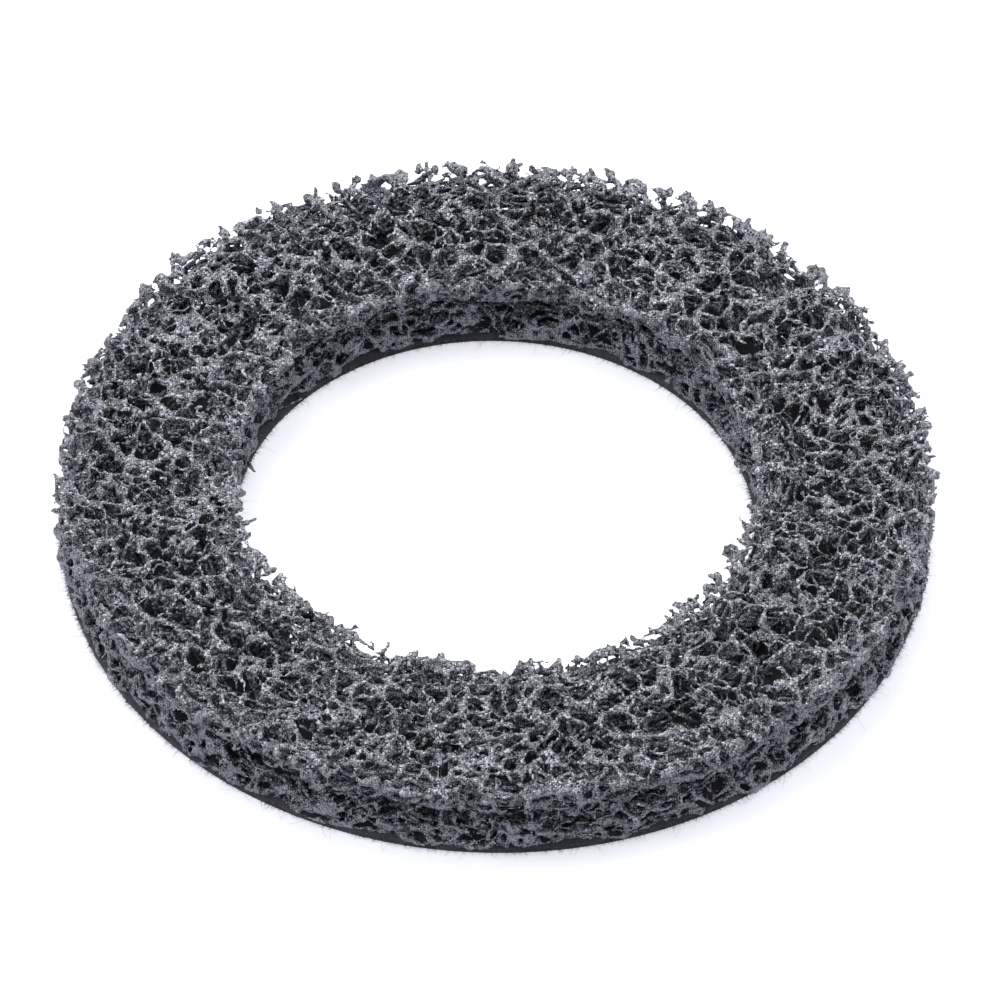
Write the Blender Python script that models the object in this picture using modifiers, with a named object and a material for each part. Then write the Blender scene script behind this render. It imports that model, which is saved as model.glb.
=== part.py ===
"""Abrasive ring disc for cleaning metal: an open web of grit-coated strands, die-cut to a ring and
bonded to a thin ring of loop fabric, which grips a hook-faced backing pad.

Metres, +Z up. The origin is at the centre of the underside, and the abrasive face looks up.
"""

import math
import random

import bmesh
import bpy
from mathutils import Vector

# Sizes of the die-cut ring, shared by the web and its backing
OUTER_DIAMETER = 0.150
HOLE_DIAMETER = 0.090
ROUND_STEPS = 80

# Heights, from the floor up
BACKING_THICKNESS = 0.0013
BOND_GAP = 0.0003
WEB_THICKNESS = 0.013

# The web's skin rounds over a little where the die cuts it, and its foot stays whole for the glue
RIM_ROUNDING = 0.0009
GLUED_FOOT = 0.0014

# The web's larger open cells. Each takes the room round a place that chance picked, and a ridge as
# thick as the strands is left between neighbours
CELL_PITCH = 0.0076
STRAND_WIDTH = 0.0013
FACE_CELL_DEPTH = 0.0050
WALL_CELL_DEPTH = 0.0034
DEPTH_SPREAD = 0.40
CELL_TAPER = 0.84
CORNER_SCATTER = 0.0004
CUTTER_OVERRUN = 0.0010
THROWS = 4000
CELL_SEED = 5

OUTER_RADIUS = OUTER_DIAMETER / 2
HOLE_RADIUS = HOLE_DIAMETER / 2
WEB_FOOT = BACKING_THICKNESS + BOND_GAP
WEB_TOP = WEB_FOOT + WEB_THICKNESS

WEB_COLOUR = (0.055, 0.060, 0.068, 1.0)
BACKING_COLOUR = (0.016, 0.017, 0.021, 1.0)


def clear_scene():
    """Removes whatever the scene held before."""
    for old in list(bpy.data.objects):
        bpy.data.objects.remove(old, do_unlink=True)


def new_collection(name):
    made = bpy.data.collections.new(name)
    bpy.context.scene.collection.children.link(made)
    return made


def finish_of(name, colour, roughness, metallic):
    """A plain Principled material in the part's colour."""
    made = bpy.data.materials.new(name)
    made.use_nodes = True
    shader = made.node_tree.nodes["Principled BSDF"]
    shader.inputs["Base Color"].default_value = colour
    shader.inputs["Roughness"].default_value = roughness
    shader.inputs["Metallic"].default_value = metallic
    made.diffuse_color = colour
    return made


def turned_ring(name, section, collection):
    """A ring turned from its section, a list of (radius, height) points that runs down the outer side."""
    mesh = bpy.data.meshes.new(name)
    points = [(radius, 0.0, height) for radius, height in section]
    edges = [(i, (i + 1) % len(points)) for i in range(len(points))]
    mesh.from_pydata(points, edges, [])
    made = bpy.data.objects.new(name, mesh)
    collection.objects.link(made)
    screw = made.modifiers.new("turn", "SCREW")
    screw.axis = "Z"
    screw.angle = math.tau
    screw.steps = screw.render_steps = ROUND_STEPS
    screw.use_merge_vertices = True
    screw.merge_threshold = 1e-5
    return made


def solid_mesh(made):
    """Replaces the object's mesh by the one that its modifiers make, with equal points made one."""
    graph = bpy.context.evaluated_depsgraph_get()
    evaluated = bpy.data.meshes.new_from_object(made.evaluated_get(graph))
    shape = bmesh.new()
    shape.from_mesh(evaluated)
    bmesh.ops.remove_doubles(shape, verts=shape.verts, dist=1e-6)
    shape.to_mesh(evaluated)
    shape.free()
    made.modifiers.clear()
    made.data = evaluated


def rounded_section(low, high, rounding):
    """The web's section, outer side first: square at the foot and chamfered at the abrasive face."""
    return [
        (OUTER_RADIUS - rounding, high),
        (OUTER_RADIUS, high - rounding),
        (OUTER_RADIUS, low),
        (HOLE_RADIUS, low),
        (HOLE_RADIUS, high - rounding),
        (HOLE_RADIUS + rounding, high),
    ]


def face_spot(chance):
    """A random place on the abrasive face, with the way out of the web there."""
    angle = chance.uniform(0, math.tau)
    span = chance.uniform((HOLE_RADIUS + STRAND_WIDTH) ** 2, (OUTER_RADIUS - STRAND_WIDTH) ** 2)
    radius = math.sqrt(span)
    return Vector((radius * math.cos(angle), radius * math.sin(angle), WEB_TOP)), Vector((0, 0, 1))


def wall_spot(chance, radius, facing):
    """A random place on a die-cut wall. facing is 1 on the outer wall and -1 in the hole."""
    angle = chance.uniform(0, math.tau)
    radial = Vector((math.cos(angle), math.sin(angle), 0))
    height = chance.uniform(WEB_FOOT + GLUED_FOOT + STRAND_WIDTH, WEB_TOP - STRAND_WIDTH)
    return radius * radial + Vector((0, 0, height)), facing * radial


def scattered(chance, spot):
    """Random spots on one surface, keeping those that lie a pitch or so from every spot before them."""
    kept = []
    for _ in range(THROWS):
        place, out = spot(chance)
        if all((place - other).length > 0.86 * CELL_PITCH for other, _ in kept):
            kept.append((place, out))
    return kept


def clipped(outline, normal, limit):
    """The part of a convex outline that lies within limit of its origin, measured along normal."""
    cut = []
    for here, after in zip(outline, outline[1:] + outline[:1]):
        past_here, past_after = here.dot(normal) - limit, after.dot(normal) - limit
        if past_here <= 0:
            cut.append(here)
        if past_here * past_after < 0:
            cut.append(here.lerp(after, past_here / (past_here - past_after)))
    return cut


def without_short_sides(outline, shortest):
    """The outline with corners left out where they crowd together."""
    return [
        here for i, here in enumerate(outline) if (here - outline[i - 1]).length > shortest
    ]


def fences(place, out, side, across):
    """Where a cell has to stop short of the web's edges, as directions in its surface and distances."""
    radius = math.hypot(place.x, place.y)
    if out.z:
        inwards = Vector((-place.x, -place.y, 0)) / radius
        room = ((inwards, radius - HOLE_RADIUS), (-inwards, OUTER_RADIUS - radius))
    else:
        up = Vector((0, 0, 1))
        room = ((up, WEB_TOP - place.z), (-up, place.z - WEB_FOOT - GLUED_FOOT + STRAND_WIDTH))
    return [(Vector((way.dot(side), way.dot(across))), far - STRAND_WIDTH) for way, far in room]


def add_cell(shape, chance, spots, index, depth):
    """Adds one cell to the cutter: the outline of the room nearest to its spot, sunk in and tapered."""
    place, out = spots[index]
    side = Vector((-place.y, place.x, 0)).normalized()
    across = out.cross(side)
    reach = CELL_PITCH
    outline = [Vector(corner) * reach for corner in ((1, 1), (-1, 1), (-1, -1), (1, -1))]
    for other, _ in spots[:index] + spots[index + 1:]:
        gap = other - place
        if gap.length < 3 * CELL_PITCH:
            flat = Vector((gap.dot(side), gap.dot(across)))
            outline = clipped(outline, flat.normalized(), (flat.length - STRAND_WIDTH) / 2)
    for normal, limit in fences(place, out, side, across):
        outline = clipped(outline, normal, limit)
    outline = without_short_sides(outline, STRAND_WIDTH)
    if len(outline) < 3:
        return
    scatter = CORNER_SCATTER
    outline = [
        corner + Vector((chance.uniform(-scatter, scatter), chance.uniform(-scatter, scatter)))
        for corner in outline
    ]
    middle = sum(outline, Vector((0, 0))) / len(outline)
    for level, scale in ((CUTTER_OVERRUN, 1.0), (-depth, CELL_TAPER)):
        corners = [middle + (corner - middle) * scale for corner in outline]
        ring = [
            shape.verts.new(place + side * corner.x + across * corner.y + out * level)
            for corner in corners
        ]
        lid = shape.faces.new(ring)
        if scale == 1.0:
            top = lid
    bmesh.ops.bridge_loops(shape, edges=[*top.edges, *lid.edges])


def open_cells(collection):
    """The cutter: every open cell of the web's face and of both its walls, as one mesh."""
    chance = random.Random(CELL_SEED)
    shape = bmesh.new()
    surfaces = (
        (face_spot, FACE_CELL_DEPTH),
        (lambda dice: wall_spot(dice, OUTER_RADIUS, 1), WALL_CELL_DEPTH),
        (lambda dice: wall_spot(dice, HOLE_RADIUS, -1), WALL_CELL_DEPTH),
    )
    for spot, usual_depth in surfaces:
        spots = scattered(chance, spot)
        for index in range(len(spots)):
            depth = usual_depth * (1 + DEPTH_SPREAD * chance.uniform(-1, 1))
            add_cell(shape, chance, spots, index, min(depth, WEB_THICKNESS - GLUED_FOOT))
    bmesh.ops.recalc_face_normals(shape, faces=shape.faces)
    mesh = bpy.data.meshes.new("open_cells")
    shape.to_mesh(mesh)
    shape.free()
    made = bpy.data.objects.new("open_cells", mesh)
    collection.objects.link(made)
    made.hide_render = True
    made.display_type = "WIRE"
    return made


def drop_crumbs(made):
    """Keeps the ring itself, and drops the few crumbs that the cells cut free of it.

    Faces belong together when they share an edge that no third face has, so that a crumb
    which only touches the ring at a point or along an edge is dropped too.
    """
    shape = bmesh.new()
    shape.from_mesh(made.data)
    left = set(shape.faces)
    groups = []
    while left:
        front = [left.pop()]
        group = list(front)
        while front:
            edges = {edge for face in front for edge in face.edges if len(edge.link_faces) == 2}
            near = {face for edge in edges for face in edge.link_faces}
            front = [face for face in near if face in left]
            left.difference_update(front)
            group += front
        groups.append(group)
    groups.sort(key=len)
    for crumb in groups[:-1]:
        bmesh.ops.delete(shape, geom=crumb, context="FACES")
    shape.to_mesh(made.data)
    shape.free()


def make_web(parts, cutters):
    """The strand web: a ring with a flat foot, opened by the cells in its face and both walls."""
    web = turned_ring("abrasive_web", rounded_section(WEB_FOOT, WEB_TOP, RIM_ROUNDING), parts)
    solid_mesh(web)
    cut = web.modifiers.new("cells", "BOOLEAN")
    cut.operation = "DIFFERENCE"
    cut.object = open_cells(cutters)
    cut.solver = "EXACT"
    cut.use_self = True
    solid_mesh(web)
    drop_crumbs(web)
    web.data.materials.clear()
    web.data.materials.append(finish_of("grit_coat", WEB_COLOUR, 0.55, 0.0))
    return web


def make_backing(parts):
    """The loop fabric: a flat ring cut with the same die as the web."""
    section = [
        (OUTER_RADIUS, BACKING_THICKNESS),
        (OUTER_RADIUS, 0.0),
        (HOLE_RADIUS, 0.0),
        (HOLE_RADIUS, BACKING_THICKNESS),
    ]
    backing = turned_ring("loop_backing", section, parts)
    solid_mesh(backing)
    backing.data.shade_smooth()
    backing.data.set_sharp_from_angle(angle=math.radians(40))
    backing.data.materials.append(finish_of("loop_fabric", BACKING_COLOUR, 0.95, 0.0))
    return backing


def main():
    clear_scene()
    parts = new_collection("abrasive_ring_disc")
    cutters = new_collection("cutters")
    centre = bpy.data.objects.new("ring_centre", None)
    parts.objects.link(centre)
    for piece in (make_web(parts, cutters), make_backing(parts)):
        piece.parent = centre


main()
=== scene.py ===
# %% [markdown]
# # An abrasive ring disc, dressed for its photograph
# The real disc is two pieces: a thick ring of open web, made of curled nylon strands that are fused
# with resin and coated in hard dark grit, and a thin ring of loop fabric glued under it.
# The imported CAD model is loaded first, and everything below is built around it, in metres.

import math

import bmesh
import bpy
import numpy as np
from mathutils import Matrix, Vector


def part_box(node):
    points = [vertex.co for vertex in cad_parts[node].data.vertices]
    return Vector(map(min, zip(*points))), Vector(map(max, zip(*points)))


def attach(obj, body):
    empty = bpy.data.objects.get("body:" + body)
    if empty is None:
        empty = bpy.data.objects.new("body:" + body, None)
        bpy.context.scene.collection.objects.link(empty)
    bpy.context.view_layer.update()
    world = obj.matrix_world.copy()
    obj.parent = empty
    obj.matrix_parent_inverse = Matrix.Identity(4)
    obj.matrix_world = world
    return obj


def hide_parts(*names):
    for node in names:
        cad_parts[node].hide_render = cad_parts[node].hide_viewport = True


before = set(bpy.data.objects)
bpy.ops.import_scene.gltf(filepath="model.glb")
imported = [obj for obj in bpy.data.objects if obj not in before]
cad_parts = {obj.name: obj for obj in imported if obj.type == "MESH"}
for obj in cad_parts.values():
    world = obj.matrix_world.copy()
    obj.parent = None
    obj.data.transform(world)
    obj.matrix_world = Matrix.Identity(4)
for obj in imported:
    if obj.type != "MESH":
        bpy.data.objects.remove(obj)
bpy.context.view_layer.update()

# %% [markdown]
# ## Sizes
# The web is worked out in millimetres, because strands and grit are easiest to think of that way.
# Outer size and heights come from the CAD boxes. The hole's radius is the one in the CAD source.

# %% Sizes of the ring, in millimetres
MM = 0.001
web_low, web_high = (np.array(corner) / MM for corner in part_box("abrasive_web"))
cloth_high = np.array(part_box("loop_backing")[1]) / MM
OUTER_R = web_high[0]
HOLE_R = 45.0
FOOT_Z = web_low[2]
TOP_Z = web_high[2]
CLOTH_TOP = cloth_high[2]
print(f"ring: {2 * OUTER_R:.1f} mm outside, {2 * HOLE_R:.1f} mm hole")
print(f"web from {FOOT_Z:.1f} to {TOP_Z:.1f} mm, on fabric {CLOTH_TOP:.1f} mm thick")

# %% [markdown]
# ## Camera
# The photograph was taken from well above and far back, with a long lens, so the ring's far side
# hardly shrinks. A camera can be turned with angles, but here its three axes are written out: right,
# up and back. They come from an elevation and a slight roll, which is how the picture was measured.

# %% Camera
ELEVATION = math.radians(46.634)
ROLL = math.radians(1.0467)
DISTANCE = 1.7306
AIM = np.array([0.00083, 0.00668, 0.0])
LENS = 359.2
SENSOR = 36.0


def camera_axes(elevation, roll):
    """Right, up and back of a camera that looks along +Y and down by elevation, then rolls."""
    back = np.array([0.0, -math.cos(elevation), math.sin(elevation)])
    right = np.array([1.0, 0.0, 0.0])
    up = np.cross(back, right)
    return (
        math.cos(roll) * right + math.sin(roll) * up,
        math.cos(roll) * up - math.sin(roll) * right,
        back,
    )


right, up, back = camera_axes(ELEVATION, ROLL)
lens = bpy.data.cameras.new("camera")
lens.lens, lens.sensor_width = LENS, SENSOR
camera = bpy.data.objects.new("camera", lens)
place = np.eye(4)
place[:3, :3] = np.column_stack([right, up, back])
place[:3, 3] = AIM + back * DISTANCE
camera.matrix_world = Matrix(place.tolist())
bpy.context.scene.collection.objects.link(camera)
bpy.context.scene.camera = camera
print("camera at", camera.matrix_world.translation)

# %% [markdown]
# ## Chance
# Nothing in the web repeats, so chance has to shape it, and yet it must come out the same each run.
# One seeded source of chance gives every number. Smooth random curves and landscapes come from sums
# of a few sines of random length and phase, which are quick to work out at any place.

# %% Random curves
dice = np.random.default_rng(11)


def wander(rows, run, shortest, longest, waves=4):
    """Random smooth curves, one a row, of unit spread: the sum of sines of random length and phase."""
    turns = math.tau / dice.uniform(shortest, longest, (rows, waves, 1))
    phase = dice.uniform(0, math.tau, (rows, waves, 1))
    return np.sin(turns * run + phase).sum(1) * math.sqrt(2 / waves)


def ripple(dimensions, shortest, longest, waves=6):
    """A random smooth landscape of unit spread: the sum of sines that run in random directions."""
    way = dice.normal(size=(waves, dimensions))
    length = dice.uniform(shortest, longest, (waves, 1))
    way *= math.tau / (length * np.linalg.norm(way, axis=1, keepdims=True))
    phase = dice.uniform(0, math.tau, waves)
    return lambda places: np.sin(places @ way.T + phase).sum(-1) * math.sqrt(2 / waves)


def held_under(values, limit, softness):
    """A smooth minimum: values well below limit stay, and values above it flatten out at limit."""
    return limit - softness * np.logaddexp(0, (limit - values) / softness)


# %% [markdown]
# ## Strands
# Real web is made by dropping crimped nylon strands at random, so each strand is a line that keeps
# curling, now left and now right, while it rises and sinks. It could be grown step by step, but the
# whole set is worked out at once: its heading is the running sum of its curl, and its place is the
# running sum of its heading.
# Starting places are spread on a sunflower spiral, so that the web is even but never regular. The
# die drags more strands along the walls, and these get paths of their own that run round the ring.

# %% The strands' paths
STEP = 0.32
MARGIN = 4.0
CURL = 0.46
STRAND_R = 0.32
SUNFLOWER_TURN = math.pi * (3 - math.sqrt(5))
WALL_WANDER = 0.9


def strand_paths(count, length, lowest, highest, climb, tightness=1.0):
    """Paths (strand, step, xyz): the running sum of a heading, which is the running sum of a curl."""
    run = np.arange(0, length, STEP)
    curl = CURL * tightness * dice.uniform(0.6, 1.5, (count, 1)) * wander(count, run, 7.0, 26.0)
    heading = dice.uniform(0, math.tau, (count, 1)) + np.cumsum(curl, 1) * STEP
    flat = np.cumsum(np.stack([np.cos(heading), np.sin(heading)], -1), 1) * STEP
    flat -= flat.mean(1, keepdims=True)
    order = np.arange(count) + 0.5
    span = (HOLE_R - MARGIN) ** 2 + ((OUTER_R + MARGIN) ** 2 - (HOLE_R - MARGIN) ** 2) * order / count
    turn = order * SUNFLOWER_TURN
    flat += (np.sqrt(span)[:, None] * np.column_stack([np.cos(turn), np.sin(turn)]))[:, None]
    height = lowest + (highest - lowest) * dice.permutation(order / count)[:, None]
    height = height + climb * wander(count, run, 7.0, 22.0)
    return np.concatenate([flat, height[:, :, None]], -1)


def wall_paths(count, length, wall_radius, inwards, depths, heights):
    """Paths that follow a wall round the ring, each near its own depth in the web and its own height.

    A beta spread puts most of the heights near the lowest one, and some near the highest.
    """
    run = np.arange(0, length, STEP)
    depth = dice.uniform(*depths, (count, 1)) + WALL_WANDER * wander(count, run, 6.0, 20.0)
    height = heights[0] + (heights[1] - heights[0]) * dice.beta(0.6, 1.1, (count, 1))
    height = height + WALL_WANDER * wander(count, run, 6.0, 20.0)
    radius = wall_radius + inwards * depth
    angle = dice.permutation(count)[:, None] * math.tau / count + run / wall_radius
    return np.stack([radius * np.cos(angle), radius * np.sin(angle), height], -1)


BULK_STRANDS = 310
SKIN_STRANDS = 60
SKIN_TIGHTNESS = 1.7
OUTER_WALL_STRANDS = 52
INNER_WALL_STRANDS = 30
OUTER_FOOT_STRANDS = 26
INNER_FOOT_STRANDS = 16
LENGTH = 28.0
WALL_HEIGHTS = (FOOT_Z + 0.6, TOP_Z - 0.4)
FOOT_HEIGHTS = (FOOT_Z + 0.2, FOOT_Z + 2.8)
paths = np.concatenate(
    [
        strand_paths(BULK_STRANDS, LENGTH, FOOT_Z - 1, TOP_Z + 0.5, 2.0),
        strand_paths(SKIN_STRANDS, LENGTH, TOP_Z - 1.6, TOP_Z + 0.4, 0.5, SKIN_TIGHTNESS),
        wall_paths(OUTER_WALL_STRANDS, LENGTH, OUTER_R, -1, (0.0, 4.0), WALL_HEIGHTS),
        wall_paths(INNER_WALL_STRANDS, LENGTH, HOLE_R, 1, (0.0, 4.0), WALL_HEIGHTS),
        wall_paths(OUTER_FOOT_STRANDS, LENGTH, OUTER_R, -1, (0.0, 2.0), FOOT_HEIGHTS),
        wall_paths(INNER_FOOT_STRANDS, LENGTH, HOLE_R, 1, (0.0, 2.0), FOOT_HEIGHTS),
    ]
)
STRANDS = len(paths)
print(f"{STRANDS} strands of {paths.shape[1]} points")

# %% [markdown]
# ## The die's cut
# A die stamps the ring out of wide web. It cuts some strands and drags others along its wall, so the
# wall is a tangle of bent strands, with a few cut ends that stick out. The squeeze leaves a hollow
# band half-way up. Each face of the ring is given as a rippled surface, and a strand that would pass
# it is pressed back onto it, while one that strays too far is dropped.

# %% The ring's faces, and strands pressed into them
SKIN_INSET = 0.45
WALL_REACH = 0.8
TOP_REACH = 0.9
PRONG_SHARE = 0.12
PRONG_REACH = 1.0
FACE_SOFTNESS = 0.3
FOOT_SOFTNESS = 0.2
THICK_VARIES = 0.16
TOP_WAVES = 0.2
WALL_WAVES = 0.45
HOLLOW_DEPTH = 1.6
HOLLOW_HEIGHT = 0.50
HOLLOW_SPREAD = 0.14
top_ripple = ripple(2, 8.0, 26.0)
wall_ripple = ripple(3, 3.5, 14.0, waves=9)


def wall_hollow(height):
    """How far a wall stands back at a height: a band half-way up, pinched in."""
    up = (height - FOOT_Z) / (TOP_Z - FOOT_Z)
    return HOLLOW_DEPTH * np.exp(-(((up - HOLLOW_HEIGHT) / HOLLOW_SPREAD) ** 2))


def ring_faces(places):
    """Height of the abrasive face, and radius of the outer wall and of the hole's wall, near each place."""
    back = wall_hollow(places[..., 2]) - WALL_WAVES * wall_ripple(places)
    top = TOP_Z - SKIN_INSET + TOP_WAVES * top_ripple(places[..., :2])
    return top, OUTER_R - SKIN_INSET - back, HOLE_R + SKIN_INSET + back


def pressed(paths):
    """Paths bent to stay inside the ring, and which of their points are kept. A few reach out as prongs."""
    count = len(paths)
    top, outer, inner = ring_faces(paths)
    prong = dice.random((count, 1)) < PRONG_SHARE
    slack = np.where(prong, dice.uniform(0.4, 1.8, (count, 1)), 0)
    reach = np.where(prong, PRONG_REACH, WALL_REACH)
    x, y, z = np.moveaxis(paths, -1, 0)
    radius, angle = np.hypot(x, y), np.arctan2(y, x)
    kept = (radius < OUTER_R + reach) & (radius > HOLE_R - reach) & (z < top + TOP_REACH)
    z = held_under(z, top, FACE_SOFTNESS)
    z = -held_under(-z, -FOOT_Z, FOOT_SOFTNESS)
    radius = held_under(radius, outer + slack, FACE_SOFTNESS)
    radius = -held_under(-radius, -(inner - slack), FACE_SOFTNESS)
    return np.stack([radius * np.cos(angle), radius * np.sin(angle), z], -1), kept


paths, kept = pressed(paths)
thick = STRAND_R * (1 + THICK_VARIES * wander(STRANDS, np.arange(paths.shape[1]) * STEP, 3.0, 12.0))
thick *= dice.uniform(0.8, 1.25, (STRANDS, 1))
print(f"{kept.sum() * STEP / 1000:.1f} m of loose strand in the ring")

# %% [markdown]
# ## Cut ends
# Where the die cut a strand through, its stub stands out of the face, which makes the ring's outline
# bristly. Pressing the long strands less would let some out, but too few and too long. So stubs are
# added on their own, most of them near the top of the walls, where the photograph shows them.

# %% Cut ends
CUT_ENDS = {"outer": 560, "inner": 300, "top": 240}
END_STEP = 0.3
END_POINTS = 11
END_ROOT = 1.0
END_ROOT_TOP = 1.2
END_LENGTHS = (1.2, 3.2)
HIGHEST_END = 0.5
WIDEST_END = 1.5


def cut_ends(count, face):
    """Stubs out of a face ("top", "outer" or "inner"): root + way * out + way squared * bend."""
    along = END_STEP * np.arange(END_POINTS)[:, None]
    angle = dice.uniform(0, math.tau, count)
    height = dice.uniform(FOOT_Z + 1, TOP_Z - 0.5, count)
    height = np.where(dice.random(count) < 0.5, TOP_Z - dice.exponential(0.8, count), height)
    radial = np.column_stack([np.cos(angle), np.sin(angle), 0 * angle])
    rise = np.array([0.0, 0.0, 1.0])
    spot = np.column_stack([(OUTER_R - END_ROOT) * radial[:, :2], height])
    out = radial
    if face == "inner":
        spot[:, :2] = (HOLE_R + END_ROOT) * radial[:, :2]
        out = -radial
    if face == "top":
        spot[:, :2] = radial[:, :2] * np.sqrt(dice.uniform(HOLE_R**2, OUTER_R**2, count))[:, None]
        spot[:, 2] = TOP_Z - END_ROOT_TOP
        out = rise + 0 * radial
    out = out + dice.normal(0, 0.35, (count, 3))
    bend = dice.normal(0, 0.16, (count, 1, 3))
    lines = spot[:, None] + along * out[:, None] + along**2 * bend
    length = dice.uniform(*END_LENGTHS, (count, 1))
    kept = (along[:, 0] < length) & (lines[..., 2] > FOOT_Z) & (lines[..., 2] < TOP_Z + HIGHEST_END)
    return lines, kept & (np.hypot(lines[..., 0], lines[..., 1]) < OUTER_R + WIDEST_END)


ends = [cut_ends(count, face) for face, count in CUT_ENDS.items()]
end_lines = np.concatenate([lines for lines, _ in ends])
end_kept = np.concatenate([kept for _, kept in ends])
print(f"{len(end_lines)} cut ends")

# %% [markdown]
# ## Resin
# Resin gathers where strands cross, so they flow into one another. Tubes that merely pass through
# each other wouldn't show that. So the strands are made a field:
# every point of a strand adds a small bell-shaped bump of density to a fine grid of air around it,
# and the skin is where the sum passes a set level. Close strands add up and fuse, as with resin.
# Deep in the middle, where only darkness shows, plain tubes will do.

# %% Density of the web on a grid
CELL = 0.44
LEVEL = 0.5
GRIT = 0.35
LUMPS = 0.25
BELL_REACH = 3
DEEP = 2.2
DEEP_INSET = 2.3


def is_deep(places):
    """Whether a place lies in the hidden middle of the web."""
    radius = np.hypot(places[..., 0], places[..., 1])
    return (
        (places[..., 2] < TOP_Z - DEEP)
        & (radius < OUTER_R - DEEP_INSET)
        & (radius > HOLE_R + DEEP_INSET)
    )


def density(places, sizes, spacing, origin, shape):
    """Sum of bells: exp(-d^2 / 2s^2) at distance d from a strand's middle, which is LEVEL at its skin."""
    field = np.zeros(shape, np.float32)
    spread = sizes / math.sqrt(2 * math.log(1 / LEVEL))
    weight = spacing / (math.sqrt(math.tau) * spread)
    nearest = np.rint((places - origin) / CELL).astype(int)
    steps = range(-BELL_REACH, BELL_REACH + 1)
    for shift in np.array(np.meshgrid(steps, steps, steps)).reshape(3, -1).T:
        if (shift**2).sum() > (BELL_REACH + 0.5) ** 2:
            continue
        spot = nearest + shift
        gap = ((origin + spot * CELL - places) ** 2).sum(1)
        np.add.at(field, tuple(spot.T), weight * np.exp(-gap / (2 * spread**2)))
    return field


AIR = 3.2
LONGEST_SPACING = 0.6
END_SIZES = (0.34, 0.52)
origin = np.array([-OUTER_R, -OUTER_R, FOOT_Z]) - AIR
shape = tuple(np.ceil((np.array([OUTER_R, OUTER_R, TOP_Z]) + AIR - origin) / CELL).astype(int))
spacing = np.linalg.norm(np.diff(paths, axis=1, append=paths[:, -1:] + (STEP, 0, 0)), axis=-1)
shown = kept & ~is_deep(paths)
spacing = np.minimum(spacing[shown], LONGEST_SPACING)
field = density(paths[shown], thick[shown], spacing, origin, shape)
end_thick = dice.uniform(*END_SIZES, (len(end_lines), 1)) * np.linspace(0.85, 1.25, END_POINTS)
field += density(end_lines[end_kept], end_thick[end_kept], END_STEP, origin, shape)
print(f"grid {shape}, {100 * (field > LEVEL).mean():.1f} % solid with loose strands alone")

# %% [markdown]
# ## Pockets
# Where many strands are fused, they fence in rounded pockets of air, as soap film does in a foam: a
# strand runs wherever three pockets meet. Placing each strand by hand would take forever, but the
# rule works out all of them at once. Pocket centres are scattered on a stacked lattice. At any place,
# the three nearest centres say how far it is from a strand: it is on one where all three are equally
# near. On the ring's faces two are enough, so a flat lace closes them. No centre lies outside the
# ring, so that a pocket by a face opens onto it and doesn't run along it.

# %% Strands between pockets
POCKET = 4.0
POCKET_SCATTER = 0.40
POCKET_SQUASH = np.array([1.0, 1.0, 1.25])
NET_R = 0.33
SHELL = 1.2
CENTRES = 44
FACE_ROOM = 0.5
FAR_AWAY = 1000.0
LEAST_APART = 1.2
GLUED = 0.05
IN_CELL = np.array([[0.25], [0.75]])


def pocket_centres():
    """Two jittered centres in each lattice cell, in lattice units. Those outside the ring go far away."""
    steps = np.arange(CENTRES) - CENTRES // 2
    cell = np.stack(np.meshgrid(steps, steps, steps, indexing="ij"), -1)[..., None, :]
    scatter = dice.uniform(-POCKET_SCATTER, POCKET_SCATTER, (*cell.shape[:3], 2, 3))
    made = cell + IN_CELL + scatter
    x, y, z = np.moveaxis(made * POCKET / POCKET_SQUASH, -1, 0)
    radius = np.hypot(x, y)
    outside = (z > TOP_Z - FACE_ROOM) | (z < FOOT_Z)
    outside |= (radius > OUTER_R - FACE_ROOM) | (radius < HOLE_R + FACE_ROOM)
    made[outside] = FAR_AWAY
    return made.astype(np.float32)


centres = pocket_centres()
sway = [ripple(3, 5.0, 14.0) for _ in range(3)]
wiggle = [ripple(3, 1.8, 4.5) for _ in range(3)]
net_ripple = ripple(3, 2.5, 9.0)
lace_ripple = ripple(3, 4.0, 12.0)
rim_ripple = ripple(3, 3.0, 9.0)
SWAY = 0.8
WIGGLE = 0.12
NET_VARIES = 0.26
WALL_LACE = 0.95
HOLLOW_LACE = 0.12
LACE_VARIES = 0.15
TOP_RIM = 0.50
FOOT_RIM = 0.85
RIM_VARIES = 0.5


def nearest_three(places):
    """The three pocket centres nearest to each place, nearest first, and the squares of their distances.

    Each place is compared with the 54 centres of its own lattice cell and the cells around it. A new
    centre that is closer than one of the three takes its rank, and the one it beats tries the next.
    """
    spots = (places / POCKET).astype(np.float32)
    home = np.floor(spots).astype(int) + CENTRES // 2
    best = np.full((3, len(places)), FAR_AWAY, np.float32)
    who = np.zeros((3, len(places)), np.int8)
    steps = (-1, 0, 1)
    shifts = np.array(np.meshgrid(steps, steps, steps)).reshape(3, -1).T
    for number, shift in enumerate(shifts):
        near = centres[tuple((home + shift).T)]
        for kind in (0, 1):
            gap = ((near[:, kind] - spots) ** 2).sum(1)
            mine = np.full(len(places), 2 * number + kind, np.int8)
            for rank in range(3):
                closer = gap < best[rank]
                best[rank], gap = np.where(closer, gap, best[rank]), np.where(closer, best[rank], gap)
                who[rank], mine = np.where(closer, mine, who[rank]), np.where(closer, who[rank], mine)
    found = [centres[(*(home + shifts[rank // 2]).T, rank % 2)] for rank in who]
    return np.array(found) * POCKET, best * POCKET**2


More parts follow.
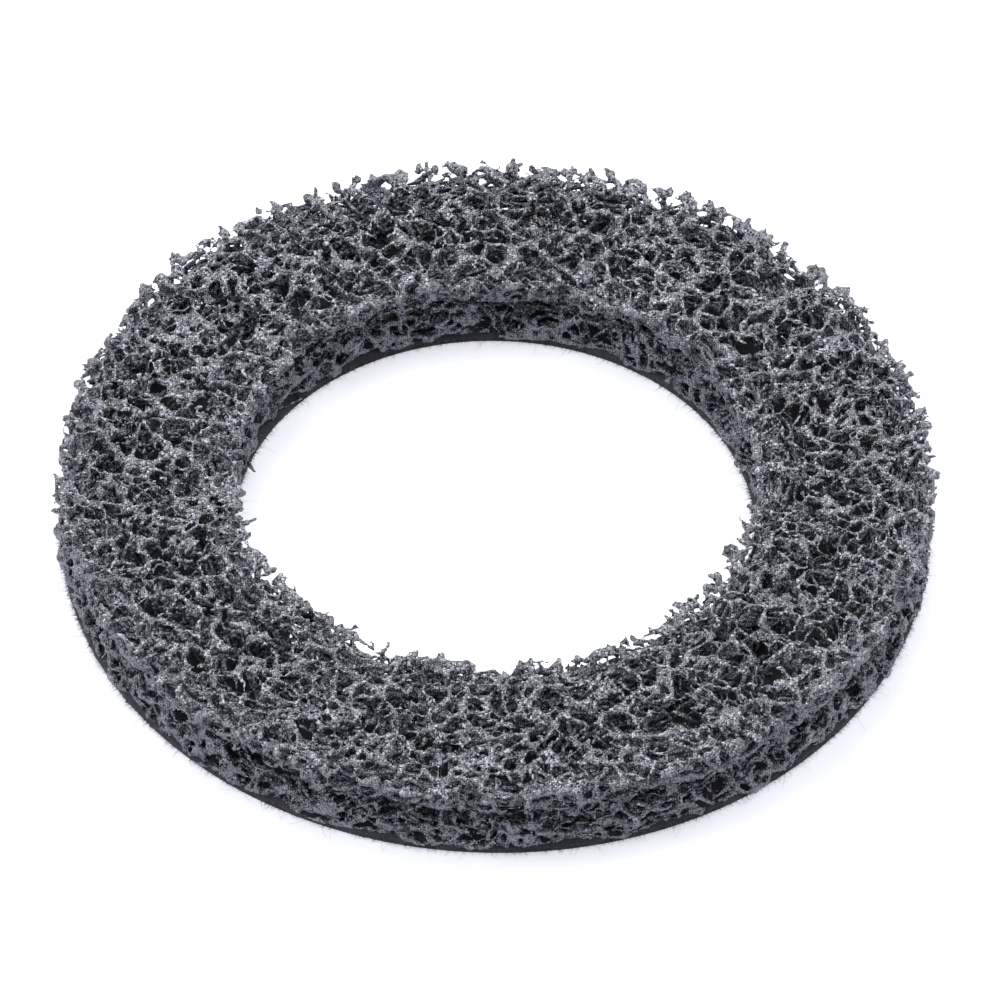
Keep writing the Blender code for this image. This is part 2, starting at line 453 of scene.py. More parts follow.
def pocket_net(places):
    """Density of the strands between pockets: bells of the distance to where pockets meet.

    Inside the web a strand runs where three pockets meet, and on a face where two do, as a lace. Along
    each rim, where two faces meet, runs one more. The wall between two pockets is the plane half-way
    between their centres, and a place's distance from it is the difference of its squared distances
    to them, over twice their distance apart.
    """
    swayed = places + SWAY * np.column_stack([wave(places) for wave in sway])
    swayed += WIGGLE * np.column_stack([wave(places) for wave in wiggle])
    found, near = nearest_three(swayed * POCKET_SQUASH)
    apart = found[1:] - found[0]
    lengths = np.maximum(np.linalg.norm(apart, axis=-1), LEAST_APART)
    second, third = (near[1:] - near[0]) / (2 * lengths)
    off_strand = (second**2 + third**2 - second * third) * 4 / 3
    top, outer, inner = ring_faces(places)
    radius = np.hypot(places[:, 0], places[:, 1])
    depths = [top - places[:, 2], outer - radius, radius - inner, places[:, 2] - FOOT_Z + GLUED]
    spread = NET_R * (1 + NET_VARIES * net_ripple(places)) / math.sqrt(2 * math.log(1 / LEVEL))
    within = np.clip(np.minimum.reduce(depths) / CELL + 1, 0, 1)
    total = within * np.exp(-off_strand / (2 * spread**2))
    radial = (apart[0, :, :2] * places[:, :2]).sum(1) / radius
    along_wall = np.sqrt(np.maximum(lengths[0] ** 2 - radial**2, LEAST_APART**2))
    along_top = np.maximum(np.hypot(apart[0, :, 0], apart[0, :, 1]), LEAST_APART)
    wall_lace = WALL_LACE - HOLLOW_LACE * wall_hollow(places[:, 2]) + LACE_VARIES * lace_ripple(places)
    from_rims = [*depths[:3], depths[3] + 0.3]
    laces = ((1, along_top), (wall_lace, along_wall), (wall_lace, along_wall), (1, along_top))
    for number, (depth, (lace, along)) in enumerate(zip(depths, laces)):
        aside = second * lengths[0] / along
        others = np.minimum.reduce([gap for at, gap in enumerate(from_rims) if at != number])
        fading = np.clip(0.4 + 1.2 * others, 0, 1)
        total += lace * fading * np.exp(-(aside**2 + depth**2) / (2 * spread**2))
    ripples = 1 + RIM_VARIES * rim_ripple(places)
    for wall in depths[1:3]:
        for face, share in ((depths[0], TOP_RIM), (depths[3], FOOT_RIM)):
            total += share * ripples * np.exp(-(wall**2 + face**2) / (2 * spread**2))
    return total


grid = np.stack(np.meshgrid(*(np.arange(n) for n in shape), indexing="ij"), -1).reshape(-1, 3)
places = origin + grid * CELL
radius = np.hypot(places[:, 0], places[:, 1])
near_web = (radius < OUTER_R + SHELL) & (radius > HOLE_R - SHELL)
near_web &= (places[:, 2] > FOOT_Z - 1.0) & (places[:, 2] < TOP_Z + SHELL) & ~is_deep(places)
field[tuple(grid[near_web].T)] += pocket_net(places[near_web])
print(f"{near_web.sum()} places, {100 * (field > LEVEL).mean():.1f} % solid with pockets")

# %% [markdown]
# ## Lumps and grit
# Resin dries in lumps and the grit stands out of it. Two layers of random noise on the density make
# the skin as rough: a blurred one for the lumps, and a plain one, new at every grid point, for grit.


# %% Roughen the density
def blurred(values):
    """Each value replaced by the mean of its 27 neighbours, twice over."""
    for axis in (0, 1, 2, 0, 1, 2):
        values = (np.roll(values, 1, axis) + values + np.roll(values, -1, axis)) / 3
    return values


fine = dice.standard_normal(shape, np.float32)
coarse = blurred(dice.standard_normal(shape, np.float32))
field *= np.exp(GRIT * fine + LUMPS * coarse / coarse.std())

# %% [markdown]
# ## From density to surface
# A surface net turns the field into faces. Each grid cell that the skin passes gets one point, at the
# mean of the places where the skin cuts the cell's edges, and each cut edge gets one four-sided face
# round it. Every step is one sum over whole arrays. A crumb that hangs in the air, joined to nothing,
# is dropped, because grit that held no strand would have fallen off.


# %% Surface net
def surface_net(field, level):
    """Points (in grid steps) and quads of the surface where field passes level."""
    inside = field > level
    cells = np.array(field.shape) - 1
    total = np.zeros((4, cells.prod()))
    quads = []
    for axis in range(3):
        first, second = (axis + 1) % 3, (axis + 2) % 3
        ahead = np.roll(inside, -1, axis)
        spots = np.argwhere(inside != ahead)
        beyond = spots.copy()
        beyond[:, axis] += 1
        near, far = field[tuple(spots.T)], field[tuple(beyond.T)]
        cut = spots.astype(float)
        cut[:, axis] += (level - near) / (far - near)
        around = []
        for a, b in ((0, 0), (1, 0), (1, 1), (0, 1)):
            cell = spots.copy()
            cell[:, first] -= a
            cell[:, second] -= b
            around.append(np.ravel_multi_index(tuple(cell.T), tuple(cells)))
        around = np.column_stack(around)
        for row, values in enumerate((*cut.T, np.ones(len(cut)))):
            total[row] += np.bincount(around.ravel(), np.repeat(values, 4), total.shape[1])
        backwards = ~inside[tuple(spots.T)]
        around[backwards] = around[backwards, ::-1]
        quads.append(around)
    used = np.flatnonzero(total[3])
    number = np.zeros(total.shape[1], int)
    number[used] = np.arange(len(used))
    return (total[:3, used] / total[3, used]).T, number[np.concatenate(quads)]


def without_crumbs(count, quads, smallest):
    """The quads of bodies that have enough points: each point takes the lowest number in its body."""
    label = np.arange(count)
    while True:
        lowest = label[quads].min(1)
        new = label.copy()
        np.minimum.at(new, quads.ravel(), np.repeat(lowest, 4))
        new = new[new]
        if (new == label).all():
            break
        label = new
    size = np.bincount(label, minlength=count)
    return quads[size[label[quads[:, 0]]] >= smallest]


SMALLEST_BODY = 400
points, quads = surface_net(field, LEVEL)
print(f"with crumbs: {2 * len(quads)} triangles")
quads = without_crumbs(len(points), quads, SMALLEST_BODY)
points = origin + points * CELL
print(f"web skin: {len(points)} points, {2 * len(quads)} triangles")

# %% [markdown]
# ## Arrays into meshes
# A mesh could be built face by face, which takes minutes for a web like this. Handing Blender whole
# arrays takes a moment. Each piece sits at the origin, with its place in its mesh, and rides on the
# ring's one body.


# %% Mesh objects from arrays
def new_piece(name, material_slot, places, *kinds):
    """A mesh object from points in millimetres and arrays of faces, one array for each number of corners."""
    sides = np.concatenate([np.full(len(faces), faces.shape[1]) for faces in kinds])
    corners = np.concatenate([faces.ravel() for faces in kinds])
    mesh = bpy.data.meshes.new(name)
    mesh.vertices.add(len(places))
    mesh.vertices.foreach_set("co", (places * MM).astype(np.float32).ravel())
    mesh.loops.add(len(corners))
    mesh.loops.foreach_set("vertex_index", corners.astype(np.int32))
    mesh.polygons.add(len(sides))
    mesh.polygons.foreach_set("loop_start", (np.cumsum(sides) - sides).astype(np.int32))
    mesh.update(calc_edges=True)
    mesh.validate()
    piece = bpy.data.objects.new(name, mesh)
    bpy.context.scene.collection.objects.link(piece)
    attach(piece, "root")
    print(f"{name}: {(sides - 2).sum()} triangles")
    return piece


# %% [markdown]
# ## Sectors of web
# One mesh of the whole web would be too heavy to handle, so its faces are dealt out to sectors, like
# slices of a cake. Neighbours share the same points along their seam, so no seam shows, and a face
# across each cut strand closes nearly all of each slice.

# %% Deal the web's faces out to sectors
SECTORS = 6


def close_cuts(piece):
    """Fills every hole in the piece's mesh whose edge is one plain loop with a face."""
    shape = bmesh.new()
    shape.from_mesh(piece.data)
    bmesh.ops.holes_fill(shape, edges=[edge for edge in shape.edges if edge.is_boundary], sides=0)
    shape.to_mesh(piece.data)
    shape.free()


middle = points[quads].mean(1)
sector = ((np.arctan2(middle[:, 1], middle[:, 0]) / math.tau % 1) * SECTORS).astype(int)
web_pieces = []
for number in range(SECTORS):
    own, faces = np.unique(quads[sector == number], return_inverse=True)
    piece = new_piece(f"web_sector_{number + 1}", "grit_coat", points[own], faces.reshape(-1, 4))
    close_cuts(piece)
    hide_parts("abrasive_web")
    web_pieces.append(piece)

# %% [markdown]
# ## Strands in the hidden middle
# The real web is as dense inside as at its skin, and its pores end in strands in the dark. The field
# would need far too many faces there, so the inside gets plain tubes. A tube is a profile carried
# along a path: at each point of the path, a small ring of corners set square to the way the path
# runs. The tubes run on under the skin, up to a little way from the faces, so the two meet unseen.


# %% Tubes along the deep strands
# A direction that hardly any line follows, so that a side square to both of them can be found
ASLANT = (0.31, 0.17, 0.94)


def tubes(lines, sizes, sides, used):
    """Tubes along many lines at once, where used: place + size * (cos * side + sin * lift).

    Each ends in a flat face of half its width.
    """
    ahead = np.gradient(lines, axis=1)
    ahead /= np.linalg.norm(ahead, axis=-1, keepdims=True)
    side = np.cross(ahead, ASLANT)
    side /= np.linalg.norm(side, axis=-1, keepdims=True)
    lift = np.cross(ahead, side)
    before = np.pad(used, ((0, 0), (1, 0)))[:, :-1]
    after = np.pad(used, ((0, 0), (0, 1)))[:, 1:]
    first, last = used & ~before & after, used & before & ~after
    angle = math.tau * np.arange(sides) / sides
    rim = np.cos(angle)[:, None] * side[:, :, None] + np.sin(angle)[:, None] * lift[:, :, None]
    places = lines[:, :, None] + np.where(first | last, 0.5 * sizes, sizes)[:, :, None, None] * rim
    number = np.arange(used.size * sides).reshape(*used.shape, sides)
    turned = np.roll(number, -1, 2)
    walls = np.stack([number[:, :-1], turned[:, :-1], turned[:, 1:], number[:, 1:]], -1)
    walls = walls[used[:, :-1] & used[:, 1:]].reshape(-1, 4)
    ends = np.concatenate([number[first][:, ::-1], number[last]])
    own, corners = np.unique(np.concatenate([walls.ravel(), ends.ravel()]), return_inverse=True)
    walls, ends = corners[: walls.size].reshape(-1, 4), corners[walls.size :].reshape(-1, sides)
    return places.reshape(-1, 3)[own], walls, ends


CORE_STRANDS = 540
OUTER_CORE_STRANDS = 340
INNER_CORE_STRANDS = 200
OUTER_RIM_STRANDS = 440
INNER_RIM_STRANDS = 210
RIM_HEIGHTS = (TOP_Z - 5.0, TOP_Z - 1.0)
CORE_R = 0.50
CORE_BACK = 0.75
THIN = 5
CORE_SIDES = 3
CORE_SHARE = 0.9
CORE_FOOT = 0.4
extra = np.concatenate(
    [
        strand_paths(CORE_STRANDS, LENGTH, FOOT_Z + 0.5, TOP_Z - DEEP, 1.5),
        wall_paths(OUTER_CORE_STRANDS, LENGTH, OUTER_R, -1, (1.5, 8.0), WALL_HEIGHTS),
        wall_paths(INNER_CORE_STRANDS, LENGTH, HOLE_R, 1, (1.5, 8.0), WALL_HEIGHTS),
        wall_paths(OUTER_RIM_STRANDS, LENGTH, OUTER_R, -1, (1.0, 5.0), RIM_HEIGHTS),
        wall_paths(INNER_RIM_STRANDS, LENGTH, HOLE_R, 1, (1.0, 5.0), RIM_HEIGHTS),
    ]
)
top, outer, inner = ring_faces(extra)
radius = np.hypot(extra[..., 0], extra[..., 1])
room = [top - extra[..., 2], outer - radius, radius - inner, extra[..., 2] - FOOT_Z + CORE_BACK / 2]
inside = np.minimum.reduce(room) > CORE_BACK
core_lines = np.concatenate([paths, extra])[:, ::THIN]
core_thick = np.concatenate([CORE_SHARE * thick, np.full(extra.shape[:2], CORE_R)])[:, ::THIN]
under_skin = is_deep(paths) & kept & (paths[..., 2] > FOOT_Z + CORE_FOOT)
deep = np.concatenate([under_skin, inside])[:, ::THIN]
core = new_piece("web_core_strands", "grit_coat", *tubes(core_lines, core_thick, CORE_SIDES, deep))
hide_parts("abrasive_web")
web_pieces.append(core)

# %% [markdown]
# ## Bare curls
# A few thin strands took up resin but hardly any grit. They lie curled up on the abrasive face like
# shavings, and catch the light along their whole length. Each is an arc that tightens as it turns.
# Most lie on the right-hand side, as in the photograph.


# %% Bare curls
CURLS = 60
CURL_THICK = 0.13
CURL_SIDES = 5
CURL_POINTS = 20
CURL_LIFT = 0.15
CURL_WAVES = 0.25
NEAR_SHARE = 0.75


def curls(count):
    """Arcs on the abrasive face: centre + size * (1 - shrink * way) * (cos, sin) of a turning angle."""
    way = np.linspace(0, 1, CURL_POINTS)
    near = dice.random(count) < NEAR_SHARE
    angle = np.where(near, dice.normal(-0.2, 0.6, count), dice.uniform(0, math.tau, count))
    radius = np.sqrt(dice.uniform((HOLE_R + 2) ** 2, (OUTER_R - 2) ** 2, count))
    size = dice.uniform(1.0, 3.4, (count, 1)) * (1 - dice.uniform(0, 0.6, (count, 1)) * way)
    turn = dice.uniform(0, math.tau, (count, 1)) + dice.uniform(0.8, 2.8, (count, 1)) * way
    x = (radius * np.cos(angle))[:, None] + size * np.cos(turn)
    y = (radius * np.sin(angle))[:, None] + size * np.sin(turn) * dice.uniform(0.6, 1.0, (count, 1))
    flat = np.stack([x, y], -1)
    height = TOP_Z - SKIN_INSET + TOP_WAVES * top_ripple(flat)
    height = height + CURL_WAVES * wander(count, 20 * way, 6.0, 20.0) + CURL_LIFT
    return np.concatenate([flat, height[..., None]], -1)


curl_lines = curls(CURLS)
curl_thick = CURL_THICK * dice.uniform(0.7, 1.3, (CURLS, 1)) + np.zeros(curl_lines.shape[1])
every = np.ones(curl_lines.shape[:2], bool)
bare = new_piece("bare_curls", "grit_coat", *tubes(curl_lines, curl_thick, CURL_SIDES, every))
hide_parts("abrasive_web")

# %% [markdown]
# ## Loop fabric
# The backing is a thin knit whose nap of tiny loops catches hooks. The glue holds it flat, so it needs
# no cloth simulation. Its body is one closed surface of two parameters: the angle round the ring, and
# the way round its section. The die leaves its cut edge a little ragged.


# %% The fabric ring
ROUND = 1100
CLOTH_INSET = 0.15
CLOTH_GAP = 0.02
EDGE_BAND = 0.1
EDGE_RAGGED = 0.11
EDGE_WAVES = 0.08


def fabric_section():
    """(radius, height) round the section: down the outer edge, in, up the hole's edge and out again."""
    edge = np.linspace(0, 1, 6)[:-1]
    flat = np.linspace(0, 1, 4)[:-1]
    thick = CLOTH_TOP - 2 * CLOTH_GAP
    wide = OUTER_R - HOLE_R - 2 * CLOTH_INSET
    rows = [
        np.column_stack([OUTER_R - CLOTH_INSET + 0 * edge, CLOTH_TOP - CLOTH_GAP - thick * edge]),
        np.column_stack([OUTER_R - CLOTH_INSET - wide * flat, CLOTH_GAP + 0 * flat]),
        np.column_stack([HOLE_R + CLOTH_INSET + 0 * edge, CLOTH_GAP + thick * edge]),
        np.column_stack([HOLE_R + CLOTH_INSET + wide * flat, CLOTH_TOP - CLOTH_GAP + 0 * flat]),
    ]
    return np.concatenate(rows)


def fabric_ring():
    """Section points turned round the axis, with those of both cut edges pushed in or out by chance."""
    section = fabric_section()
    angle = math.tau * np.arange(ROUND) / ROUND
    radius = section[:, 0] + 0 * angle[:, None]
    height = section[:, 1] + 0 * angle[:, None]
    wall = (section[:, 1] > EDGE_BAND) & (section[:, 1] < CLOTH_TOP - EDGE_BAND)
    ragged = dice.normal(0, EDGE_RAGGED, radius.shape)
    ragged += EDGE_WAVES * wander(1, angle * OUTER_R, 4.0, 15.0).T
    way = np.where(section[:, 0] > (OUTER_R + HOLE_R) / 2, 1, -1)
    radius = radius + np.where(wall, way * ragged, 0)
    x, y = radius * np.cos(angle)[:, None], radius * np.sin(angle)[:, None]
    places = np.stack([x, y, height], -1)
    number = np.arange(places.shape[0] * places.shape[1]).reshape(places.shape[:2])
    ahead = np.roll(number, -1, 0)
    faces = np.stack([number, np.roll(number, -1, 1), np.roll(ahead, -1, 1), ahead], -1)
    return places.reshape(-1, 3), faces.reshape(-1, 4)


fabric = new_piece("loop_fabric_ring", "loop_fabric", *fabric_ring())
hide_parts("loop_backing")

# %% [markdown]
# ## Nap
# The fabric's edges are soft with the ends and loops of its finest yarn. Particle hair would be the
# usual tool. Thousands of thin spikes of four faces each, and a few hundred longer bent hairs, do as
# well, and stay real geometry in every export.


# %% Nap along the fabric's edges
SPIKES = 16000
SPIKE_R = 0.045
SPIKE_REACH = 1.0
HAIRS = 800
HAIR_R = 0.018
HAIR_REACH = 1.9
HAIR_POINTS = 4
HAIR_SIDES = 3
SPIKE_SPREAD = 0.35
HAIR_SPREAD = 0.6
NAP_ROOT = 0.1
NAP_FLOOR = 0.05


def nap_lines(count, steps, reach, spread):
    """Bent lines out of the fabric's two edges: start + length * (way * out + way squared * bend)."""
    way = np.linspace(0, 1, steps)[:, None]
    angle = dice.uniform(0, math.tau, count)
    outside = dice.random(count) < OUTER_R / (OUTER_R + HOLE_R)
    out = np.column_stack([np.cos(angle), np.sin(angle), 0 * angle])
    radius = np.where(outside, OUTER_R - CLOTH_INSET - NAP_ROOT, HOLE_R + CLOTH_INSET + NAP_ROOT)
    height = dice.uniform(0.08, CLOTH_TOP - NAP_FLOOR, (count, 1))
    start = radius[:, None] * out + np.array([0, 0, 1]) * height
    out = np.where(outside, 1, -1)[:, None] * out + dice.normal(0, spread, (count, 3)) * (1, 1, 0.4)
    bend = dice.normal(0, spread, (count, 3))
    length = reach * (0.3 + 0.7 * dice.random((count, 1, 1)) ** 1.4)
    lines = start[:, None] + length * (way * out[:, None] + way**2 * bend[:, None])
    lines[..., 2] = np.maximum(lines[..., 2], NAP_FLOOR)
    return lines


def spikes(starts, tips, size):
    """Spikes of four faces: a small triangle, square to the spike, and a point at the tip."""
    ahead = tips - starts
    ahead /= np.linalg.norm(ahead, axis=-1, keepdims=True)
    side = np.cross(ahead, ASLANT)
    side /= np.linalg.norm(side, axis=-1, keepdims=True)
    lift = np.cross(ahead, side)
    angle = math.tau * np.arange(3)[:, None] / 3
    rim = starts[:, None] + size * (np.cos(angle) * side[:, None] + np.sin(angle) * lift[:, None])
    corners = np.array([[0, 2, 1], [0, 1, 3], [1, 2, 3], [2, 0, 3]])
    faces = 4 * np.arange(len(starts))[:, None, None] + corners
    return np.concatenate([rim, tips[:, None]], 1).reshape(-1, 3), faces.reshape(-1, 3)


spike_lines = nap_lines(SPIKES, 2, SPIKE_REACH, SPIKE_SPREAD)
hair_lines = nap_lines(HAIRS, HAIR_POINTS, HAIR_REACH, HAIR_SPREAD)
spike_places, spike_faces = spikes(spike_lines[:, 0], spike_lines[:, 1], SPIKE_R)
every = np.ones(hair_lines.shape[:2], bool)
hair_sizes = np.full(every.shape, HAIR_R)
hair_places, hair_walls, hair_ends = tubes(hair_lines, hair_sizes, HAIR_SIDES, every)
nap_places = np.concatenate([hair_places, spike_places])
spike_faces = spike_faces + len(hair_places)
nap_ring = new_piece("fabric_nap", "loop_fabric", nap_places, hair_walls, hair_ends, spike_faces)
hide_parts("loop_backing")

# %% [markdown]
# ## Finishes
# Materials are node graphs, which could be drawn by hand in the shader editor. To keep them readable
# here, a small class wraps a socket so that plain arithmetic adds the nodes, and one method adds every
# other node. A pattern sits on Object coordinates, so that it stays on the piece from any side.


# %% Shader sockets as values
class Wire:
    """An output socket of a material's node tree. Arithmetic on it adds Math nodes."""

    def __init__(self, tree, socket=None):
        self.tree, self.socket = tree, socket

    def node(self, kind, settings=None, output=0, **inputs):
        """Adds a node: its settings first, then its sockets' values or wires, by name or as in_0, in_1."""
        made = self.tree.nodes.new(kind)
        for name, value in (settings or {}).items():
            setattr(made, name, value)
        for name, value in inputs.items():
            key = int(name[3:]) if name.startswith("in_") else name.replace("_", " ")
            if isinstance(value, Wire):
                self.tree.links.new(value.socket, made.inputs[key])
            else:
                made.inputs[key].default_value = value
        return Wire(self.tree, made.outputs[output])

    def beside(self, output):
        """Another output of the node that this one comes from."""
        return Wire(self.tree, self.socket.node.outputs[output])

    def maths(self, operation, *values, clamp=False):
        """A Math node on these values or wires."""
        inputs = {f"in_{i}": value for i, value in enumerate(values)}
        return self.node("ShaderNodeMath", {"operation": operation, "use_clamp": clamp}, **inputs)

    def vector(self, operation, output=0, **inputs):
        """A Vector Math node, for colours and directions."""
        return self.node("ShaderNodeVectorMath", {"operation": operation}, output=output, **inputs)

    def __add__(self, other):
        return self.maths("ADD", self, other)

    __radd__ = __add__

    def __sub__(self, other):
        return self.maths("SUBTRACT", self, other)

    def __rsub__(self, other):
        return self.maths("SUBTRACT", other, self)

    def __mul__(self, other):
        return self.maths("MULTIPLY", self, other)

    __rmul__ = __mul__

    def clamped(self):
        """This value held between 0 and 1."""
        return self.maths("ADD", self, 0.0, clamp=True)

    def mixed(self, first, second):
        """first where this value is 0, second where it is 1, for colours."""
        settings = {"data_type": "RGBA"}
        return self.node("ShaderNodeMix", settings, output=2, in_0=self, in_6=first, in_7=second)


def new_finish(name, **constants):
    """A material, a Wire to build its nodes from, and its Principled shader with constants set."""
    material = bpy.data.materials.new(name)
    material.use_nodes = True
    tree = material.node_tree
    shader = tree.nodes["Principled BSDF"]
    for key, value in constants.items():
        shader.inputs[key.replace("_", " ")].default_value = value
    return material, Wire(tree), shader


def drive(shader, **wires):
    """Links wires to the shader's sockets by name."""
    for key, wire in wires.items():
        wire.tree.links.new(wire.socket, shader.inputs[key.replace("_", " ")])


# %% [markdown]
# ### Grit and resin
# The grit is crushed silicon carbide: dark, glassy grains that break with flat faces. It bends light
# strongly, so each face mirrors the lamps or the dark, and grains next to each other look black and
# white. A Voronoi pattern deals out grains, and each gets its own tilt, roughness and colour. Some are
# painted pale, as painted glints, and fewer of them on the walls, fewest on the hole's wall, as painted
# shade. Here and there, mostly near the rim, matt blue-grey resin has run over the grains and
# hides them.

# %% Grit finish
GRAIN = 0.38
SMEAR = 6.0
BLOTCH = 2.6
# Metres from the axis where more resin begins, on both rims and both walls, and metres below the face. The
# wall bands also mark where painted shade lowers the painted glints.
OUTER_RIM_BAND = 0.069
INNER_RIM_BAND = 0.051
OUTER_WALL_BAND = 0.0722
INNER_WALL_BAND = 0.0478
FACE_BAND = 0.0007
DARK_GRAIN = (0.103, 0.106, 0.122, 1)
# Pale colour painted on some grains as painted glints
PAINTED_GLINT_GRAIN = (0.68, 0.72, 0.82, 1)
DARK_RESIN = (0.055, 0.060, 0.080, 1)
PALE_RESIN = (0.175, 0.189, 0.245, 1)


def resin_share(where, outer_wall, inner_wall, radius):
    """Where resin hides the grit: long smears of noise, with more of it near both rims and on the walls."""
    outer_rim = ((radius - OUTER_RIM_BAND) * 200).clamped()
    inner_rim = ((INNER_RIM_BAND - radius) * 200).clamped()
    run = where.node("ShaderNodeTexNoise", Vector=where, Scale=1 / (SMEAR * MM), Detail=3.0)
    more = 0.08 * outer_rim + 0.10 * inner_rim + 0.20 * outer_wall + 0.34 * inner_wall
    return ((run + more - 0.62) * 9).clamped()


def grain_facing(where, grain, resin):
    """The normal, leaned by each grain's own chance tilt and away from the grain's middle, as on a dome."""
    tilt = where.vector("SUBTRACT", in_0=grain, in_1=(0.5, 0.5, 0.5))
    tilt = where.vector("SCALE", in_0=tilt, Scale=2.2 - 0.7 * resin)
    dome = where.vector("SUBTRACT", in_0=where, in_1=grain.beside(2))
    dome = where.vector("SCALE", in_0=dome, Scale=(1.8 - 0.6 * resin) * (1 / (GRAIN * MM)))
    facing = where.node("ShaderNodeNewGeometry", output=1)
    for lean in (tilt, dome):
        facing = where.vector("ADD", in_0=facing, in_1=lean)
    return where.vector("NORMALIZE", in_0=facing)


def grit_finish():
    material, wire, shader = new_finish("grit_coat", IOR=2.2)
    where = wire.node("ShaderNodeTexCoord", output=3)
    grain = wire.node("ShaderNodeTexVoronoi", Vector=where, Scale=1 / (GRAIN * MM), output=1)
    bright = wire.node("ShaderNodeSeparateColor", Color=grain)
    dull = bright.beside(1)
    radius = wire.vector("LENGTH", in_0=where, output=1)
    height = wire.node("ShaderNodeSeparateXYZ", Vector=where, output=2)
    low = ((TOP_Z * MM - FACE_BAND - height) * 900).clamped()
    outer_wall = low * ((radius - OUTER_WALL_BAND) * 700).clamped()
    inner_wall = low * ((INNER_WALL_BAND - radius) * 700).clamped()
    resin = resin_share(where, outer_wall, inner_wall, radius)
    blotch = wire.node("ShaderNodeTexNoise", Vector=where, Scale=1 / (BLOTCH * MM), Detail=3.0)
    # Share of each grain painted pale as painted glints; the walls get less of it, the hole's wall least, as
    # painted shade
    shade = ((bright - 0.85 - 0.10 * outer_wall - 0.25 * inner_wall + 0.5 * blotch) * 4).clamped()
    matt = ((blotch - 0.5) * 3 + 0.5).clamped().mixed(DARK_RESIN, PALE_RESIN)
    colour = resin.mixed(shade.mixed(DARK_GRAIN, PAINTED_GLINT_GRAIN), matt)
    facing = grain_facing(where, grain, resin)
    drive(shader, Base_Color=colour, Roughness=0.10 + 0.32 * dull, Normal=facing)
    return material


# %% [markdown]
# ### Bare resin's finish
# The curls are smooth and satin, in streaks from dark to pale, without grains.


# %% Curl finish
CURL_STREAK = 0.7


def curl_finish():
    material, wire, shader = new_finish("bare_resin", Roughness=0.32, IOR=1.55)
    where = wire.node("ShaderNodeTexCoord", output=3)
    run = wire.node("ShaderNodeTexNoise", Vector=where, Scale=1 / (CURL_STREAK * MM), Detail=2.0)
    drive(shader, Base_Color=run.mixed((0.04, 0.042, 0.05, 1), (0.42, 0.45, 0.50, 1)))
    return material


grit = grit_finish()
for piece in web_pieces:
    piece.data.materials.append(grit)
bare.data.materials.append(curl_finish())

# %% [markdown]
# ### Loop fabric's finish
# Near-black knit, dull, with the faint sheen of nylon.


# %% Fabric finish
YARN = 0.5


def fabric_finish():
    material, wire, shader = new_finish("loop_fabric", Roughness=0.95, Sheen_Weight=0.3)
    where = wire.node("ShaderNodeTexCoord", output=3)
    yarn = wire.node("ShaderNodeTexNoise", Vector=where, Scale=1 / (YARN * MM), Detail=2.0)
    colour = yarn.mixed((0.024, 0.024, 0.030, 1), (0.080, 0.081, 0.096, 1))
    drive(shader, Base_Color=colour)
    return material


cloth = fabric_finish()
fabric.data.materials.append(cloth)
nap_ring.data.materials.append(cloth)

# %% [markdown]
# ## Floor
# The disc lies on white. More light on the floor would make it white, and would wash out the disc too.
# So the floor keeps the disc's shadow, and adds a little white of its own for the camera and for
# mirrored rays only, which makes it pure white where no shadow falls.


# %% Floor
FLOOR_COLOUR = (0.82, 0.83, 0.91, 1)
FLOOR_GLOW = 0.56
BACKDROP_RAYS = ("Is Camera Ray", "Is Glossy Ray", "Is Transmission Ray")


def backdrop_share(wire):
    """1 for a ray from the camera, or on from a mirror or glass, and 0 for light that lights the disc."""
    rays = [wire.node("ShaderNodeLightPath", output=name) for name in BACKDROP_RAYS]
    return (rays[0] + rays[1] + rays[2]).clamped()


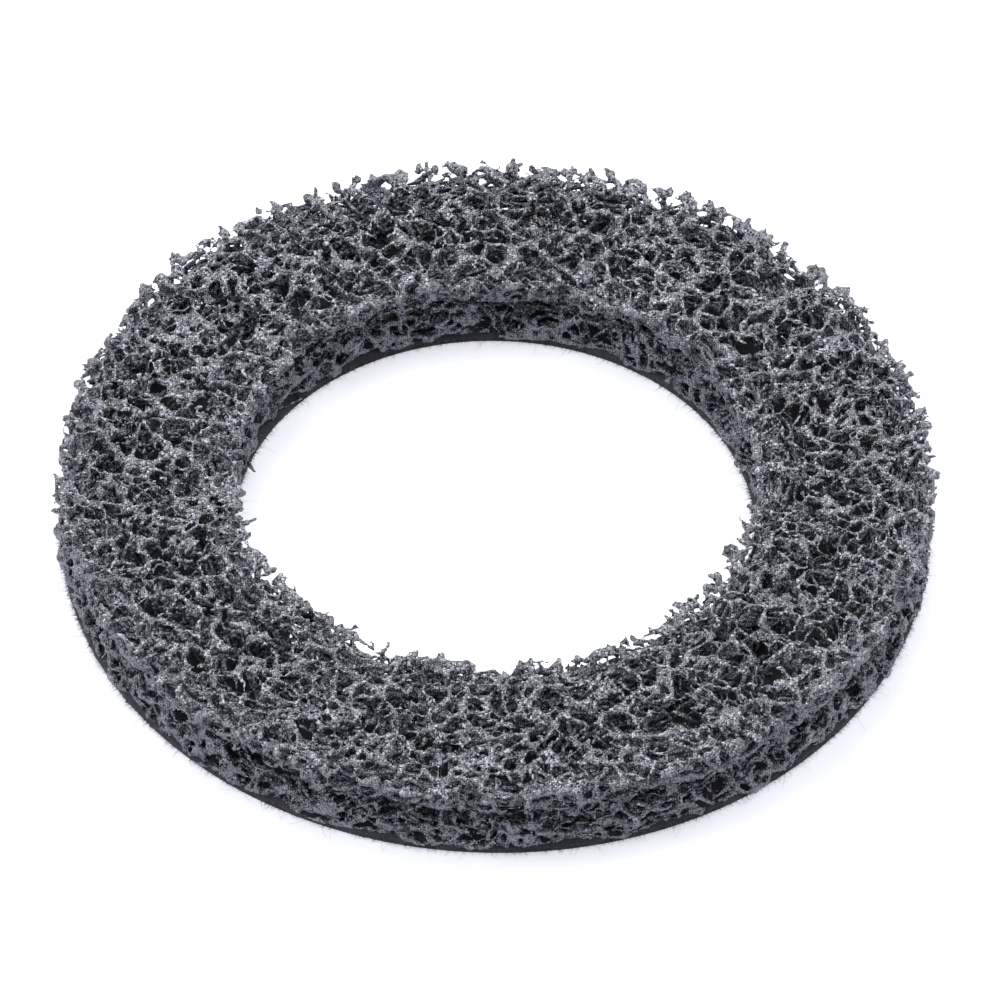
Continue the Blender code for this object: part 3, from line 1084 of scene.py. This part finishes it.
def floor_finish():
    material = bpy.data.materials.new("white_floor")
    material.use_nodes = True
    tree = material.node_tree
    tree.nodes.remove(tree.nodes["Principled BSDF"])
    wire = Wire(tree)
    lit = wire.node("ShaderNodeBsdfDiffuse", Color=FLOOR_COLOUR)
    strength = FLOOR_GLOW * backdrop_share(wire)
    glow = wire.node("ShaderNodeEmission", Color=(0.97, 0.97, 1.0, 1), Strength=strength)
    both = wire.node("ShaderNodeAddShader", in_0=lit, in_1=glow)
    tree.links.new(both.socket, tree.nodes["Material Output"].inputs["Surface"])
    return material


bpy.ops.mesh.primitive_plane_add(size=8.0, location=(0, 0, -0.0003))
floor = bpy.context.object
floor.name = "white_floor"
floor.data.materials.append(floor_finish())
print("floor at", floor.location)

# %% [markdown]
# ## Lamps and sky
# The photograph's light is soft and comes from all round, with small bright glints on the grains. A
# plain pale sky gives the soft part, and four square lamps, above and behind the disc and to both
# sides, give the glints. The camera sees the sky as white, and the disc gets half of it as light.


# %% Lamps and sky
SKY_LIGHT = 0.50


def softbox(name, place, size, power):
    """A square lamp at place that faces the disc."""
    lamp = bpy.data.lights.new(name, "AREA")
    lamp.shape, lamp.size, lamp.energy = "SQUARE", size, power
    made = bpy.data.objects.new(name, lamp)
    at = np.array(place)
    out = at / np.linalg.norm(at)
    side = np.cross((0, 1, 0), out)
    side /= np.linalg.norm(side)
    turn = np.eye(4)
    turn[:3, :3] = np.column_stack([side, np.cross(out, side), out])
    turn[:3, 3] = at
    made.matrix_world = Matrix(turn.tolist())
    bpy.context.scene.collection.objects.link(made)
    print(f"{name}: {power} W, {size} m wide")


softbox("top_softbox", (-0.25, 0.35, 1.1), 0.6, 3.4)
softbox("left_lamp", (-0.8, -0.1, 0.7), 0.45, 2.8)
softbox("right_lamp", (0.7, 0.45, 0.75), 0.45, 2.4)
softbox("back_lamp", (0.1, 0.9, 0.6), 0.45, 2.8)


def sky():
    """A plain sky: full strength where it is seen, and SKY_LIGHT of it as light."""
    world = bpy.data.worlds.new("white_sky")
    bpy.context.scene.world = world
    world.use_nodes = True
    tree = world.node_tree
    background = tree.nodes["Background"]
    strength = SKY_LIGHT + (1 - SKY_LIGHT) * backdrop_share(Wire(tree))
    tree.links.new(strength.socket, background.inputs["Strength"])
    background.inputs["Color"].default_value = (0.96, 0.98, 1.03, 1)


sky()
bpy.context.scene.view_settings.view_transform = "Standard"
